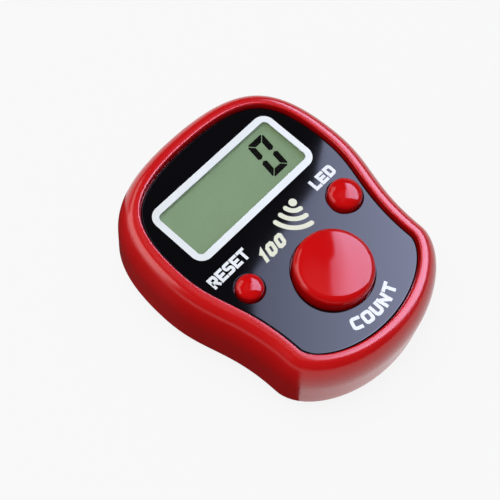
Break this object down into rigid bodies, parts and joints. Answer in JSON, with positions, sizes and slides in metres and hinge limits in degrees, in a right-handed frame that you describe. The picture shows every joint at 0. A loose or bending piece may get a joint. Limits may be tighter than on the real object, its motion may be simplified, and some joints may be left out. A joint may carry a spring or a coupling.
{
  "type": "digital hand tally counter",
  "caption": "Pocket electronic tally counter: glossy waisted case, black face with small display, large domed count button and two small buttons, battery hatch in the back.",
  "frame": {"origin": "middle of the flat back, on the surface that the counter lies on", "axes": "+Z out of the face towards the user, +Y towards the display end, +X towards the side of the light button"},
  "size_m": [0.03, 0.0368, 0.0136],
  "materials": {
    "red_shell": "glossy moulded ABS",
    "red_button": "glossy moulded ABS",
    "black_panel": "polished printed sheet",
    "clear_window": "clear acrylic",
    "display_glass": "grey-green liquid crystal cell with polariser",
    "white_plastic": "satin",
    "black_plastic": "satin",
    "board_green": "solder mask over glass fibre",
    "black_epoxy": "cast epoxy drop",
    "grey_rubber": "layered conductive rubber",
    "steel": "nickel plated",
    "brass": "spring brass",
    "ceramic": "fired ceramic"
  },
  "bodies": {
    "case": {"front_shell": "red_shell", "back_cover": "red_shell", "face_panel": "black_panel", "display_window": "clear_window", "display_upper_glass": "display_glass", "display_lower_glass": "display_glass", "light_guide": "white_plastic", "backlight_lamp": "white_plastic", "display_holder": "white_plastic", "contact_strip": "grey_rubber", "circuit_board": "board_green", "chip_blob": "black_epoxy", "resistor_1": "ceramic", "resistor_2": "ceramic", "capacitor_1": "ceramic", "battery_cell_1": "steel", "battery_cell_2": "steel", "battery_contact_1": "brass", "battery_contact_2": "brass", "case_screw_1": "steel", "case_screw_2": "steel", "case_screw_3": "steel", "case_screw_4": "steel", "buzzer_plate": "brass", "buzzer_ceramic": "ceramic", "buzzer_lead_1": "steel", "buzzer_lead_2": "steel", "count_switch_base": "black_plastic", "count_switch_cover": "steel", "led_switch_base": "black_plastic", "led_switch_cover": "steel", "reset_switch_base": "black_plastic", "reset_switch_cover": "steel"},
    "count_key": {"count_button": "red_button", "count_switch_plunger": "white_plastic"},
    "led_key": {"led_button": "red_button", "led_switch_plunger": "white_plastic"},
    "reset_key": {"reset_button": "red_button", "reset_switch_plunger": "white_plastic"},
    "hatch": {"battery_hatch": "red_shell", "battery_link": "brass", "hatch_screw_1": "steel", "hatch_screw_2": "steel"}
  },
  "joints": [
    {"name": "count_press", "type": "slide", "parent": "case", "child": "count_key", "axis": [0, 0, -1], "range_m": [0, 0.0005], "stiffness_N_per_m": 1200},
    {"name": "led_press", "type": "slide", "parent": "case", "child": "led_key", "axis": [0, 0, -1], "range_m": [0, 0.0005], "stiffness_N_per_m": 1000},
    {"name": "reset_press", "type": "slide", "parent": "case", "child": "reset_key", "axis": [0, 0, -1], "range_m": [0, 0.0005], "stiffness_N_per_m": 1000},
    {"name": "hatch_lift", "type": "slide", "parent": "case", "child": "hatch", "axis": [0, 0, -1], "range_m": [0, 0.006]}
  ]
}
